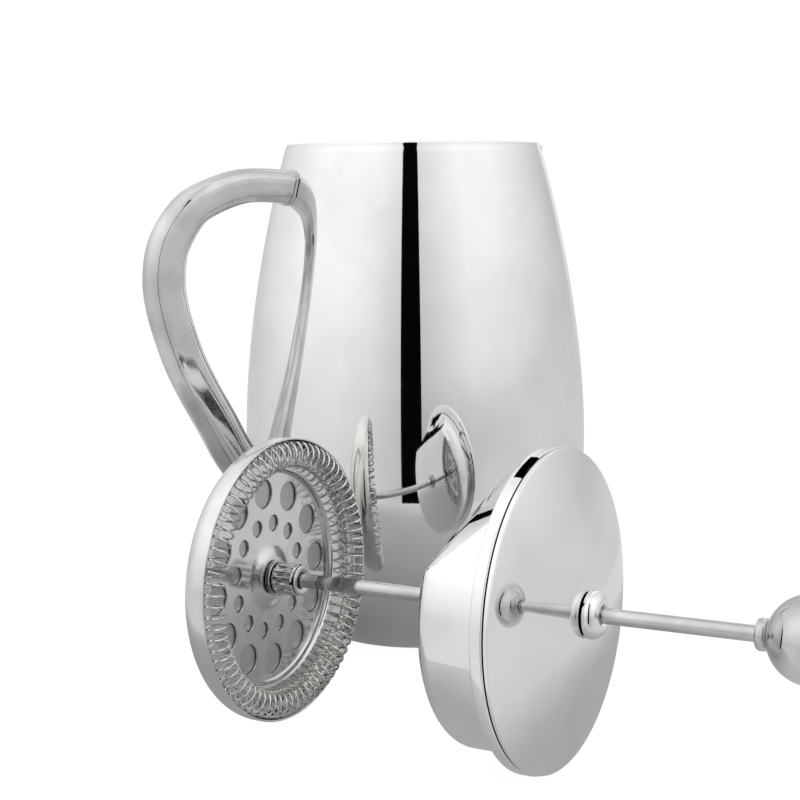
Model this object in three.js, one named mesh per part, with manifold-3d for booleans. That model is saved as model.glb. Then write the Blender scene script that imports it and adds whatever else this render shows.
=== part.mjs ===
// French press with a double-walled barrel pot. The pot stands on its base and the
// lid, rod and filter lie together on the table beside it, on the filter's pan and
// the lid's flange. Millimetres, +Z up, origin at the centre of the pot's base,
// +X towards the spout and -X towards the handle.
import * as THREE from 'three';
import { ConvexGeometry } from 'three/addons/geometries/ConvexGeometry.js';
import { mergeVertices } from 'three/addons/utils/BufferGeometryUtils.js';
import Module from 'manifold-3d';

const wasm = await Module();
wasm.setup();

// Clearance between pieces that touch
const gap = 0.3;

// Pot
const potHeight = 200;
const rimRadius = 51.2;
const bellyRadius = 69.9;
const bellyShare = 0.406;
const footRadius = 34;
const shoulderPower = 1.78;
const shellWall = 0.5;
const linerWall = 0.5;
const linerFloor = 13;
const linerCorner = 7;
const rimRound = 0.6;

// Spout
const spoutReach = 12.6;
const spoutTipDrop = 0.6;
const spoutRise = 32;
const spoutHalfAngle = 18;
const spoutWall = 0.9;
const pourNotchDepth = 13;
const pourNotchWidth = 18;

// Handle: a D-shaped bar. Its route gives the distance out from handleRouteStart and the
// height as a share of the pot's, and it starts just inside the rim
const handleWidth = 12;
const handleTopThickness = 13;
const handleGripThickness = 15.6;
const handleCrown = 3.6;
const handleBevel = 3;
const handleInnerWidth = 7.4;
const saddleThickness = 0.9;
const saddleProud = 0.5;
const handleStartHeight = 0.913;
const handleStartInset = 1.6;
const handleShrink = 14.4;
const handleRoute = [
  [10.5, 0.921], [23.5, 0.9175], [37.9, 0.891], [45.1, 0.8615], [51.6, 0.8075], [53.6, 0.745], [52.4, 0.691],
  [49.6, 0.639], [45.8, 0.585], [40.5, 0.5295], [33.9, 0.4685], [26.4, 0.398], [19, 0.3575], [6.5, 0.335],
];

// Filter coil and plates, measured along the rod from the coil's outer face
const coilFit = 1.8;
const coilSection = 9.4;
const coilShellWall = 0.9;
const coilMouthAngle = 22;
const plateThickness = 0.6;
const plateRecess = 12.4;
const plateFlangeInset = 1.2;
const stepWidth = 1.6;
const domeRadius = 12;
const domeHeight = 2.3;
const largeHoleRing = 29.6;
const largeHoleRadius = 5.3;
const smallHoleRing = 18.8;
const smallHoleRadius = 3;
const holeCount = 12;
const meshThickness = 0.5;
const panDepth = 11.3;
const panFit = 0.7;
const panRise = 5.9;
const panCorner = 8;
const holePhase = -13.2;
const panWindowInner = 12;
const panWindowOuter = 36;
const panWindows = 4;
const panSpoke = 9;
const bossRadius = 5;

// Rod, hub and knob
const rodRadius = 2.5;
const rodClearance = 0.3;
const hubRadius = 5.5;
const hubLength = 8.6;
const hubRibs = 16;
const hubRibDepth = 0.5;
const hubRingRadius = 6.2;
const hubRingLength = 1.7;
const filterToLid = 93.7;
const raisedTravel = 48.3;
const knobRadius = 13.4;
const collarRadius = 4.9;
const collarLength = 3.5;
const insertRadius = 4;

// Lid
const flangeOverhang = 0.4;
const flangeThickness = 4;
const skirtFit = 3.8;
const skirtWall = 1;
const skirtDepth = 22;
const skirtCorner = 5;
const capWall = 1.2;
const capEdge = 1.4;
const capRise = 9.5;
const bushRadius = 7.7;
const bushHeight = 5.2;
const bushShank = 4.9;
const sealWidth = 0.8;
const nutRadius = 8.4;
const nutThickness = 3;
const grommetRadius = 5.6;
const grommetFlange = 1.3;
const ventWidth = 13;
const ventHeight = 2.6;
const tabLength = 7;
const panelSlope = 32;
const panelInset = 2;
const ventBearing = 19;
const tabBearing = 26;

// Where the lid and filter lie: beside the pot, with the rod's bearing turned from +X
const laidClearance = 2;
const laidForward = 22.2;
const rodBearing = -59.8;

const bellyHeight = bellyShare * potHeight;
const handleRouteStart = bellyRadius - handleShrink;
const coilRadius = rimRadius - shellWall - gap - linerWall - coilFit;
const linerInner = coilRadius + coilFit;
const panRadius = linerInner - panFit;
const linerOuter = linerInner + linerWall;
const flangeRadius = rimRadius + flangeOverhang;
const skirtRadius = linerInner - skirtFit;
const knobNeck = filterToLid + flangeThickness + gap + capEdge + capRise + bushHeight + raisedTravel;
const knobCentre = knobNeck + collarLength + gap + Math.sqrt(knobRadius ** 2 - collarRadius ** 2);
const boreRadius = rodRadius + rodClearance;

const materials = {
  steel: { color: 0xe6e6e6, roughness: 0.06, metalness: 1 },
  darkSteel: { color: 0xb8b8b6, roughness: 0.2, metalness: 1 },
  mesh: { color: 0x9a9a98, roughness: 0.45, metalness: 1 },
  seal: { color: 0x3a3a3a, roughness: 0.7, metalness: 0 },
};

function v2(x, y) {
  return new THREE.Vector2(x, y);
}

// A closed outline turned about the Z axis; the outline runs up its outer side
function turned(outline, segments = 40) {
  const points = outline.map(([r, z]) => v2(r, z));
  const first = points[0];
  const last = points[points.length - 1];
  if (first.x > 0 || last.x > 0) {
    points.push(first.clone());
  }
  return new THREE.LatheGeometry(points, segments).rotateX(Math.PI / 2);
}

// Points of an arc in an outline, angles in degrees from the outline's outward axis
function arc(r, z, radius, from, to, steps) {
  const points = [];
  for (let i = 0; i <= steps; i += 1) {
    const angle = THREE.MathUtils.degToRad(from + ((to - from) * i) / steps);
    points.push([r + radius * Math.cos(angle), z + radius * Math.sin(angle)]);
  }
  return points;
}

function solid(geometry) {
  const bare = geometry.index ? geometry.toNonIndexed() : geometry.clone();
  bare.deleteAttribute('normal');
  bare.deleteAttribute('uv');
  const merged = mergeVertices(bare, 1e-4);
  const vertProperties = new Float32Array(merged.attributes.position.array);
  const triVerts = new Uint32Array(merged.index.array);
  return new wasm.Manifold(new wasm.Mesh({ numProp: 3, vertProperties, triVerts }));
}

function surface(manifold) {
  const mesh = manifold.getMesh();
  const geometry = new THREE.BufferGeometry();
  geometry.setAttribute('position', new THREE.BufferAttribute(new Float32Array(mesh.vertProperties), 3));
  geometry.setIndex(new THREE.BufferAttribute(new Uint32Array(mesh.triVerts), 1));
  geometry.computeVertexNormals();
  return geometry;
}

function block(width, depth, height, x, y, z) {
  return solid(new THREE.BoxGeometry(width, depth, height).translate(x, y, z));
}

function rod(radius, low, high, x = 0, y = 0, segments = 16) {
  const bar = new THREE.CylinderGeometry(radius, radius, high - low, segments);
  return solid(bar.rotateX(Math.PI / 2).translate(x, y, (low + high) / 2));
}

// Skins through a row of closed rings with the same number of points
function loft(rings) {
  const count = rings[0].length;
  const positions = rings.flat().flatMap((p) => [p.x, p.y, p.z]);
  const index = [];
  for (let i = 0; i + 1 < rings.length; i += 1) {
    for (let j = 0; j < count; j += 1) {
      const a = i * count + j;
      const b = i * count + ((j + 1) % count);
      index.push(a, b, b + count, a, b + count, a + count);
    }
  }
  for (const [ring, flip] of [[0, true], [rings.length - 1, false]]) {
    const start = ring * count;
    for (let j = 1; j + 1 < count; j += 1) {
      const pair = flip ? [start + j + 1, start + j] : [start + j, start + j + 1];
      index.push(start, ...pair);
    }
  }
  const geometry = new THREE.BufferGeometry();
  geometry.setAttribute('position', new THREE.Float32BufferAttribute(positions, 3));
  geometry.setIndex(index);
  return geometry;
}

// The pot's outer side from foot to rim, swollen by an extra amount
function potSide(extra = 0, lowSteps = 8, highSteps = 7) {
  const points = [];
  for (let i = 0; i < lowSteps; i += 1) {
    const angle = (Math.PI / 2) * (i / lowSteps);
    const r = footRadius + (bellyRadius - footRadius + extra) * Math.sin(angle);
    points.push([r, bellyHeight - (bellyHeight + extra) * Math.cos(angle)]);
  }
  for (let i = 0; i <= highSteps; i += 1) {
    const part = i / highSteps;
    const r = bellyRadius - (bellyRadius - rimRadius) * part ** shoulderPower + extra;
    points.push([r, bellyHeight + (potHeight - bellyHeight) * part]);
  }
  return points;
}

// A solid of the pot's outer shape, to cut what is fastened to it
function potBlank(extra) {
  const side = potSide(extra);
  const top = side[side.length - 1];
  return solid(turned([[0, side[0][1]], ...side, [top[0], potHeight + 5], [0, potHeight + 5]], 40));
}

// The passage from the mouth into the spout
function pourNotch(clearance) {
  const width = pourNotchWidth + 2 * clearance;
  const depth = pourNotchDepth + clearance;
  const length = rimRadius + spoutReach;
  return block(length, width, 2 * depth, length / 2, 0, potHeight);
}

function outerShell() {
  const outside = potSide();
  const inside = potSide(-shellWall).reverse();
  outside[outside.length - 1][1] -= rimRound;
  const lip = [rimRadius - shellWall / 2, potHeight];
  const body = solid(turned([...outside, lip, ...inside], 40));
  return surface(body.subtract(pourNotch(0)));
}

function innerLiner() {
  const outer = linerOuter;
  const bottom = linerFloor - linerWall;
  const outside = arc(outer - linerCorner, bottom + linerCorner, linerCorner, -90, 0, 4);
  const inside = arc(linerInner - linerCorner, linerFloor + linerCorner, linerCorner, 0, -90, 4);
  const outline = [[0, bottom], ...outside, [outer, potHeight - gap], [linerInner, potHeight - gap]];
  const cup = solid(turned([...outline, ...inside, [0, linerFloor]], 40));
  return surface(cup.subtract(pourNotch(0)));
}

function basePlate() {
  return turned([[0, 0], [footRadius - gap, 0], [footRadius - gap, shellWall], [0, shellWall]], 40);
}

// A V-shaped beak over the notch in the rim
function spout() {
  const half = rimRadius * Math.sin(THREE.MathUtils.degToRad(spoutHalfAngle));
  const rootX = rimRadius * 0.8;
  const tipX = rimRadius + spoutReach;
  const tipZ = potHeight - spoutTipDrop;
  const heelX = tipX - spoutRise * 0.14;
  const spread = half * 1.35;
  const outer = new ConvexGeometry([
    new THREE.Vector3(tipX, 0, tipZ),
    new THREE.Vector3(rootX, spread, potHeight),
    new THREE.Vector3(rootX, -spread, potHeight),
    new THREE.Vector3(heelX, 0, tipZ - spoutRise),
    new THREE.Vector3(rootX, 0, tipZ - spoutRise * 1.3),
  ]);
  const inset = spoutWall * 1.5;
  const inner = new ConvexGeometry([
    new THREE.Vector3(tipX - 2 * inset, 0, potHeight + 9),
    new THREE.Vector3(tipX - 2 * inset, 0, tipZ - 1),
    new THREE.Vector3(rootX, spread - 2 * inset, potHeight + 9),
    new THREE.Vector3(rootX, inset - spread, potHeight),
    new THREE.Vector3(rootX, 2 * inset - spread, potHeight + 9),
    new THREE.Vector3(rootX, spread - inset, potHeight),
    new THREE.Vector3(heelX - inset, 0, tipZ - spoutRise + 2 * inset),
    new THREE.Vector3(rootX, 0, tipZ - spoutRise),
  ]);
  const sill = potHeight - pourNotchDepth;
  const above = block(90, 90, 60, tipX, 0, sill + 30);
  return surface(solid(outer).subtract(solid(inner).intersect(above)).subtract(potBlank(gap)));
}

// A gutter that carries coffee across the gap between the liner and the shell
function spoutThroat() {
  const side = pourNotchWidth / 2 - gap;
  const floor = potHeight - pourNotchDepth + gap;
  const high = potHeight - 2;
  const wall = spoutWall;
  const shape = new THREE.Shape([
    v2(-side, floor), v2(side, floor), v2(side, high), v2(side - wall, high),
    v2(side - wall, floor + wall), v2(wall - side, floor + wall), v2(wall - side, high), v2(-side, high),
  ]);
  const length = rimRadius - linerInner + 2.5;
  const gutter = new THREE.ExtrudeGeometry(shape, { depth: length, bevelEnabled: false });
  gutter.rotateX(Math.PI / 2).rotateZ(Math.PI / 2).translate(linerInner, 0, 0);
  const skin = potBlank(-0.2);
  return surface(solid(gutter).intersect(skin));
}

// The handle's centre line in the plane of the pot's axis
function handleCurve() {
  const start = new THREE.Vector3(handleStartInset - rimRadius, 0, handleStartHeight * potHeight);
  const rest = handleRoute.map(([out, share]) => (
    new THREE.Vector3(-(handleRouteStart + out), 0, share * potHeight)
  ));
  return new THREE.CatmullRomCurve3([start, ...rest], false, 'centripetal');
}

// A length of handle bar, its outline swollen by an extra amount
function handleBar(from, to, steps, extra = 0) {
  const curve = handleCurve();
  const side = new THREE.Vector3(0, 1, 0);
  const rings = [];
  for (let i = 0; i <= steps; i += 1) {
    const part = from + ((to - from) * i) / steps;
    const centre = curve.getPointAt(part);
    const out = new THREE.Vector3().crossVectors(side, curve.getTangentAt(part)).normalize();
    const swell = THREE.MathUtils.smoothstep(part, 0.1, 0.45);
    const thick = handleTopThickness + (handleGripThickness - handleTopThickness) * swell;
    const top = thick / 2 + extra;
    const half = handleWidth / 2 + extra;
    const inner = handleInnerWidth / 2 + extra;
    const outline = [
      [top, 0], [top - handleCrown * 0.14, half * 0.4], [top - handleCrown * 0.46, half * 0.74],
      [top - handleCrown, half], [handleBevel - top, half], [-top, inner], [-top, -inner],
      [handleBevel - top, -half], [top - handleCrown, -half], [top - handleCrown * 0.46, -half * 0.74],
      [top - handleCrown * 0.14, -half * 0.4],
    ];
    rings.push(outline.map(([n, w]) => centre.clone().addScaledVector(out, n).addScaledVector(side, w)));
  }
  return solid(loft(rings));
}

function handle() {
  const clear = 2 * gap + saddleThickness;
  return surface(handleBar(0, 1, 30).subtract(potBlank(clear)));
}

// A thin brazed saddle between one end of the handle and the shell
function handleSaddle(from, to) {
  const pad = handleBar(from, to, 8, saddleProud).intersect(potBlank(gap + saddleThickness));
  return surface(pad.subtract(potBlank(gap)));
}

function lidFlange() {
  const inner = skirtRadius + gap;
  const edge = 0.5;
  const ring = solid(turned([
    [inner, 0], [flangeRadius - edge, 0], [flangeRadius, edge],
    [flangeRadius, flangeThickness - edge], [flangeRadius - edge, flangeThickness], [inner, flangeThickness],
  ]));
  const vent = block(9, ventWidth, 2 * ventHeight, flangeRadius, 0, flangeThickness);
  return surface(ring.subtract(vent.rotate([0, 0, ventBearing])));
}

// The domed top plate, with a turned-down edge and a hole for the guide bush
function lidCap() {
  const outer = flangeRadius - 0.4;
  const low = flangeThickness + gap;
  const bore = bushShank + gap;
  const sphere = (outer ** 2 + capRise ** 2) / (2 * capRise);
  const domeAt = (r) => low + capEdge + capRise - (sphere - Math.sqrt(sphere ** 2 - r ** 2));
  const steps = 6;
  const outside = [];
  for (let i = 0; i <= steps; i += 1) {
    const r = outer - 0.5 + ((bore - outer + 0.5) * i) / steps;
    outside.push([r, domeAt(r)]);
  }
  const inside = [];
  for (let i = 0; i <= steps; i += 1) {
    const r = bore + ((outer - capWall - bore) * i) / steps;
    inside.push([r, domeAt(r) - capWall]);
  }
  return turned([[outer - capWall, low], [outer, low], [outer, low + capEdge], ...outside, ...inside]);
}

// The skirt is a cup with a flat sloping panel that leads up to the vent
function lidSkirt() {
  const top = flangeThickness - gap;
  const bottom = -skirtDepth;
  const corner = skirtCorner;
  const inner = skirtRadius - skirtWall;
  const outside = arc(skirtRadius - corner, bottom + corner, corner, -90, 0, 5);
  const inside = arc(inner - corner + 1, bottom + skirtWall + corner - 1, corner - 1, -90, 0, 4);
  const cup = solid(turned([[0, bottom], ...outside, [skirtRadius, top], [0, top]]));
  const hollow = solid(turned([[0, bottom + skirtWall], ...inside, [inner, top + 5], [0, top + 5]]));
  const slope = THREE.MathUtils.degToRad(panelSlope);
  const aim = THREE.MathUtils.degToRad(ventBearing);
  const normal = [-Math.cos(slope) * Math.cos(aim), -Math.cos(slope) * Math.sin(aim), Math.sin(slope)];
  const reach = Math.cos(slope) * (skirtRadius - panelInset);
  const shell = cup.trimByPlane(normal, -reach).subtract(hollow.trimByPlane(normal, skirtWall - reach));
  return surface(shell.subtract(rod(grommetShank() + gap, bottom - 1, bottom + 5, 0, 0, 24)));
}

function grommetShank() {
  return boreRadius + 1.2;
}

// A small strainer tab that bridges the skirt under the flange
function strainerTab() {
  const thick = 1;
  return new THREE.BoxGeometry(thick, tabLength, ventHeight)
    .translate(skirtRadius + gap + thick / 2, 0, -gap - ventHeight / 2)
    .rotateZ(THREE.MathUtils.degToRad(tabBearing));
}

function guideBush() {
  const seat = flangeThickness + gap + capEdge + capRise + gap;
  const low = seat - capWall - gap - nutThickness - 2;
  const bore = boreRadius + 0.1;
  const groove = boreRadius + sealWidth + gap;
  const grooveLow = seat - 1;
  const grooveHigh = grooveLow + 2.2;
  return turned([
    [bore, low], [bushShank, low], [bushShank, seat], [bushRadius, seat], [bushRadius, seat + 1.2],
    [bushRadius - 0.9, seat + 3], [bushRadius - 2.6, seat + 4.6], [bushRadius - 4, seat + bushHeight - gap],
    [bore, seat + bushHeight - gap], [bore, grooveHigh], [groove, grooveHigh], [groove, grooveLow],
    [bore, grooveLow],
  ], 24);
}

function rodSeal() {
  const seat = flangeThickness + gap + capEdge + capRise + gap;
  const middle = seat + 0.1;
  const half = sealWidth;
  return turned([
    [boreRadius, middle - half], [boreRadius + half, middle - half],
    [boreRadius + half, middle + half], [boreRadius, middle + half],
  ], 24);
}

function hexPiece(radius, bore, low, high) {
  const body = solid(new THREE.CylinderGeometry(radius, radius, high - low, 6)
    .rotateX(Math.PI / 2).translate(0, 0, (low + high) / 2));
  return surface(body.subtract(rod(bore, low - 1, high + 1, 0, 0, 24)));
}

function bushNut() {
  const high = flangeThickness + gap + capEdge + capRise - capWall - 2 * gap;
  return hexPiece(nutRadius, bushShank + gap, high - nutThickness, high);
}

function lowerGrommet() {
  const face = -skirtDepth - gap;
  return turned([
    [boreRadius + 0.1, face - grommetFlange], [grommetRadius - 0.5, face - grommetFlange],
    [grommetRadius, face - grommetFlange + 0.5], [grommetRadius, face], [grommetShank(), face],
    [grommetShank(), face + skirtWall + 2], [boreRadius + 0.1, face + skirtWall + 2],
  ], 24);
}

function plungerRod() {
  const low = -plateRecess - plateThickness - meshThickness - 4;
  return turned([
    [0, low], [rodRadius - 0.5, low], [rodRadius, low + 0.5], [rodRadius, knobCentre - 1.5],
    [0, knobCentre - 1.5],
  ], 20);
}

function knob() {
  const bore = insertRadius + gap;
  const start = THREE.MathUtils.radToDeg(Math.asin(bore / knobRadius)) - 90;
  const ball = arc(0, knobCentre, knobRadius, start, 90, 14);
  ball[ball.length - 1][0] = 0;
  return turned([...ball, [0, knobCentre + 0.5], [bore, knobCentre + 0.5]], 32);
}

function knobInsert() {
  const low = knobNeck + collarLength + gap;
  return turned([
    [boreRadius, low], [insertRadius, low], [insertRadius, knobCentre - 0.5], [boreRadius, knobCentre - 0.5],
  ], 20);
}

function knobCollar() {
  const high = knobNeck + collarLength;
  return turned([
    [boreRadius, knobNeck], [collarRadius - 0.8, knobNeck], [collarRadius, knobNeck + 0.8],
    [collarRadius, high - 0.5], [collarRadius - 0.4, high], [boreRadius, high],
  ], 24);
}

function hubSeat() {
  return domeHeight - plateRecess + gap;
}

function hubRing() {
  const low = hubSeat();
  return turned([
    [boreRadius, low], [hubRingRadius, low], [hubRingRadius, low + hubRingLength],
    [boreRadius, low + hubRingLength],
  ], 24);
}

// A knurled sleeve: ribs run along it
function filterHub() {
  const low = hubSeat() + hubRingLength + gap;
  const shape = new THREE.Shape();
  for (let i = 0; i < 2 * hubRibs; i += 1) {
    const r = i % 2 ? hubRadius : hubRadius - hubRibDepth;
    const angle = (Math.PI * i) / hubRibs;
    const point = v2(r * Math.cos(angle), r * Math.sin(angle));
    if (i) {
      shape.lineTo(point.x, point.y);
    } else {
      shape.moveTo(point.x, point.y);
    }
  }
  const sleeve = new THREE.ExtrudeGeometry(shape, { depth: hubLength, bevelEnabled: false });
  return surface(solid(sleeve.translate(0, 0, low)).subtract(rod(boreRadius, low - 1, low + hubLength + 1)));
}

function hubWasher() {
  const low = hubSeat() + hubRingLength + 2 * gap + hubLength;
  const thick = 1;
  return turned([
    [boreRadius + 0.4, low], [hubRadius + 0.3, low],
    [hubRadius, low + thick], [boreRadius + 0.4, low + thick],
  ], 24);
}

// The pressed plate: a dome under the hub, two rings of holes, and a raised rim inside the coil
function spiralPlate() {
  const thick = plateThickness;
  const low = -plateRecess - thick;
  const high = -coilSection - gap - thick / 2;
  const step = coilRadius - coilSection - stepWidth;
  const rim = coilRadius - plateFlangeInset;
  const hubTop = hubRingRadius - 0.5;
  const plate = solid(turned([
    [boreRadius, low + domeHeight], [hubTop, low + domeHeight], [domeRadius, low], [step, low],
    [step + stepWidth, high - thick / 2], [rim, high - thick / 2], [rim, high + thick / 2],
    [step + stepWidth - 0.4, high + thick / 2], [step - 0.4, low + thick], [domeRadius - 0.1, low + thick],
    [hubTop - 0.1, low + thick + domeHeight], [boreRadius, low + thick + domeHeight],
  ]));
  let cut = plate;
  for (let i = 0; i < holeCount; i += 1) {
    const small = (2 * Math.PI * i) / holeCount + THREE.MathUtils.degToRad(holePhase);
    const large = small + Math.PI / holeCount;
    const [x, y] = [largeHoleRing * Math.cos(large), largeHoleRing * Math.sin(large)];
    cut = cut.subtract(rod(largeHoleRadius, low - 1, low + 3, x, y, 14));
    const [u, v] = [smallHoleRing * Math.cos(small), smallHoleRing * Math.sin(small)];
    cut = cut.subtract(rod(smallHoleRadius, low - 1, low + 3, u, v, 10));
  }
  return surface(cut);
}

// The outer shape of the coil spring, open towards the plate's rim
function springCoil() {
  const middle = coilRadius - coilSection / 2;
  const height = -coilSection / 2;
  const edge = 180 - coilMouthAngle;
  const outside = arc(middle, height, coilSection / 2, -edge, edge, 9);
  const inside = arc(middle, height, coilSection / 2 - coilShellWall, edge, -edge, 6);
  return turned([...outside, ...inside]);
}

function meshScreen() {
  const high = -plateRecess - plateThickness - gap;
  const edge = panRadius - panCorner - gap;
  return turned([
    [boreRadius + 0.2, high - meshThickness], [edge, high - meshThickness], [edge, high],
    [boreRadius + 0.2, high],
  ]);
}

// The pan behind the mesh: a rolled rim and spokes round four windows
function crossPlate() {
  const high = panRise - coilSection;
  const low = high - panDepth;
  const wall = 0.7;
  const centre = [panRadius - panCorner, low + panCorner];
  const outside = arc(...centre, panCorner, -90, 0, 5);
  const inside = arc(...centre, panCorner - wall, 0, -90, 4);
  const pan = solid(turned([
    [bossRadius + gap, low], ...outside, [panRadius, high], [panRadius - wall, high], ...inside,
    [bossRadius + gap, low + wall],
  ]));
  const ring = solid(turned([
    [panWindowInner, low - 1], [panWindowOuter, low - 1],
    [panWindowOuter, low + 2], [panWindowInner, low + 2],
  ]));
  let spokes = block(2 * coilRadius, panSpoke, 8, 0, 0, low);
  for (let i = 1; i < panWindows / 2; i += 1) {
    const bar = block(2 * coilRadius, panSpoke, 8, 0, 0, low);
    spokes = spokes.add(bar.rotate([0, 0, (360 * i) / panWindows]));
  }
  return surface(pan.subtract(ring.subtract(spokes)));
}

function crossPlateBoss() {
  const low = panRise - coilSection - panDepth - 2.8;
  const high = -plateRecess - plateThickness - meshThickness - 2 * gap;
  return turned([
    [boreRadius, low], [bossRadius, low], [bossRadius, high], [boreRadius, high],
  ], 24);
}

function piece(group, name, geometry, finish) {
  const mesh = new THREE.Mesh(geometry, new THREE.MeshStandardMaterial(materials[finish]));
  mesh.name = name;
  group.add(mesh);
}

// The lid, rod and filter share one axis, and lie on the pan's rim and on the flange's near edge
function lieDown(group) {
  const flangeEdge = filterToLid + 0.5;
  const panEdge = panRise - coilSection;
  const tilt = Math.atan((flangeRadius - panRadius) / (flangeEdge - panEdge));
  const bearing = THREE.MathUtils.degToRad(rodBearing);
  const level = Math.cos(tilt);
  const along = new THREE.Vector3(level * Math.cos(bearing), level * Math.sin(bearing), Math.sin(tilt));
  const up = new THREE.Vector3(0, 0, 1).addScaledVector(along, -Math.sin(tilt)).normalize();
  const across = new THREE.Vector3().crossVectors(along, up);
  group.quaternion.setFromRotationMatrix(new THREE.Matrix4().makeBasis(up, across, along));
  const height = panRadius * level - panEdge * Math.sin(tilt);
  const aside = bellyRadius + laidClearance + panRadius;
  const x = Math.sin(bearing) * aside + Math.cos(bearing) * laidForward;
  const y = Math.sin(bearing) * laidForward - Math.cos(bearing) * aside;
  group.position.set(x, y, height);
}

function pot() {
  const group = new THREE.Group();
  piece(group, 'outer_shell', outerShell(), 'steel');
  piece(group, 'inner_liner', innerLiner(), 'steel');
  piece(group, 'base_plate', basePlate(), 'steel');
  piece(group, 'spout_beak', spout(), 'steel');
  piece(group, 'spout_throat', spoutThroat(), 'steel');
  piece(group, 'handle', handle(), 'steel');
  piece(group, 'handle_upper_saddle', handleSaddle(0, 0.18), 'steel');
  piece(group, 'handle_lower_saddle', handleSaddle(0.82, 1), 'steel');
  return group;
}

function lid() {
  const group = new THREE.Group();
  piece(group, 'lid_flange', lidFlange(), 'steel');
  piece(group, 'lid_cap', lidCap(), 'steel');
  piece(group, 'lid_skirt', lidSkirt(), 'steel');
  piece(group, 'strainer_tab', strainerTab(), 'steel');
  piece(group, 'guide_bush', guideBush(), 'steel');
  piece(group, 'rod_seal', rodSeal(), 'seal');
  piece(group, 'bush_nut', bushNut(), 'darkSteel');
  piece(group, 'lower_grommet', lowerGrommet(), 'darkSteel');
  group.position.z = filterToLid;
  return group;
}

function plunger() {
  const group = new THREE.Group();
  piece(group, 'plunger_rod', plungerRod(), 'steel');
  piece(group, 'knob', knob(), 'steel');
  piece(group, 'knob_insert', knobInsert(), 'darkSteel');
  piece(group, 'knob_collar', knobCollar(), 'steel');
  piece(group, 'hub_ring', hubRing(), 'darkSteel');
  piece(group, 'filter_hub', filterHub(), 'steel');
  piece(group, 'hub_washer', hubWasher(), 'steel');
  piece(group, 'spiral_plate', spiralPlate(), 'steel');
  piece(group, 'spring_coil', springCoil(), 'steel');
  piece(group, 'mesh_screen', meshScreen(), 'mesh');
  piece(group, 'cross_plate', crossPlate(), 'steel');
  piece(group, 'cross_plate_boss', crossPlateBoss(), 'darkSteel');
  return group;
}

const frenchPress = new THREE.Group();
frenchPress.add(pot());
const laid = new THREE.Group();
laid.add(lid());
laid.add(plunger());
lieDown(laid);
frenchPress.add(laid);

export default frenchPress;
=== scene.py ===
import math
import bpy
from mathutils import Matrix, Vector


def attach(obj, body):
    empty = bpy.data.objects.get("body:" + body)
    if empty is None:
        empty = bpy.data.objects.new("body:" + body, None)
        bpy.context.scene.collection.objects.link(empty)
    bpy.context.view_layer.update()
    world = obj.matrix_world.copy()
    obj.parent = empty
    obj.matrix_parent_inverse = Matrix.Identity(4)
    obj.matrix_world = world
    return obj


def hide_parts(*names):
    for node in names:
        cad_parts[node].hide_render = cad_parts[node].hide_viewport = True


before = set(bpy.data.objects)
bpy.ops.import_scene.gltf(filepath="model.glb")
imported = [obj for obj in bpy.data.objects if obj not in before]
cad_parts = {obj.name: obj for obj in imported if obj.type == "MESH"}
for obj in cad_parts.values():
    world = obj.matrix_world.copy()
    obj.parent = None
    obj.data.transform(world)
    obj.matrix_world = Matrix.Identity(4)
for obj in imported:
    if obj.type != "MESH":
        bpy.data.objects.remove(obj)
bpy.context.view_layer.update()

mm = 0.001
poleRadius = 1e-7  # a ring this small is merged to one point


# small helpers
def linearColour(hexText):
    parts = [int(hexText[i:i + 2], 16) / 255 for i in (1, 3, 5)]
    return tuple(p / 12.92 if p <= 0.04045 else ((p + 0.055) / 1.055) ** 2.4 for p in parts) + (1.0,)


def addNode(tree, kind, settings, links):
    node = tree.nodes.new(kind)
    for key, value in settings.items():
        if key in node.inputs:
            node.inputs[key].default_value = value
        else:
            setattr(node, key, value)
    for key, source in links.items():
        tree.links.new(source, node.inputs[key])
    return node


def emptyMaterial(name):
    material = bpy.data.materials.new(name)
    material.use_nodes = True
    material.node_tree.nodes.clear()
    return material, material.node_tree


def arcPoints(r, z, radius, start, end, steps):
    points = []
    for i in range(steps + 1):
        angle = math.radians(start + (end - start) * i / steps)
        points.append((r + radius * math.cos(angle), z + radius * math.sin(angle)))
    return points


def selectOnly(piece):
    if bpy.context.object and bpy.context.object.mode != 'OBJECT':
        bpy.ops.object.mode_set(mode='OBJECT')
    bpy.ops.object.select_all(action='DESELECT')
    piece.select_set(True)
    bpy.context.view_layer.objects.active = piece


def turnedPiece(name, outline, sides=96):  # a circle raised ring by ring through the outline, in mm
    points = [(max(r * mm, poleRadius), z * mm) for r, z in outline]
    bpy.ops.object.select_all(action='DESELECT')
    bpy.ops.mesh.primitive_circle_add(vertices=sides, radius=points[0][0], location=(0, 0, 0))
    piece = bpy.context.object
    piece.name = name
    piece.data.name = name
    bpy.ops.object.mode_set(mode='EDIT')
    bpy.ops.mesh.select_all(action='SELECT')
    bpy.ops.transform.translate(value=(0, 0, points[0][1]))
    for (r0, z0), (r1, z1) in zip(points, points[1:]):
        bpy.ops.mesh.extrude_region_move(TRANSFORM_OT_translate={"value": (0, 0, z1 - z0)})
        bpy.ops.transform.resize(value=(r1 / r0, r1 / r0, 1), center_override=(0, 0, z1))
    bpy.ops.mesh.select_all(action='SELECT')
    bpy.ops.mesh.remove_doubles(threshold=2e-6)
    bpy.ops.mesh.normals_make_consistent(inside=False)
    bpy.ops.object.mode_set(mode='OBJECT')
    return piece


def smooth(piece, angle=32):
    selectOnly(piece)
    bpy.ops.object.shade_smooth_by_angle(angle=math.radians(angle))


def cutAway(piece, cutters, kind='DIFFERENCE'):  # boolean with each cutter, then the cutter goes
    for cutter in cutters:
        selectOnly(piece)
        cut = piece.modifiers.new("cut", 'BOOLEAN')
        cut.operation = kind
        cut.solver = 'EXACT'
        cut.object = cutter
        bpy.ops.object.modifier_apply(modifier="cut")
        bpy.data.objects.remove(cutter, do_unlink=True)


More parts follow.
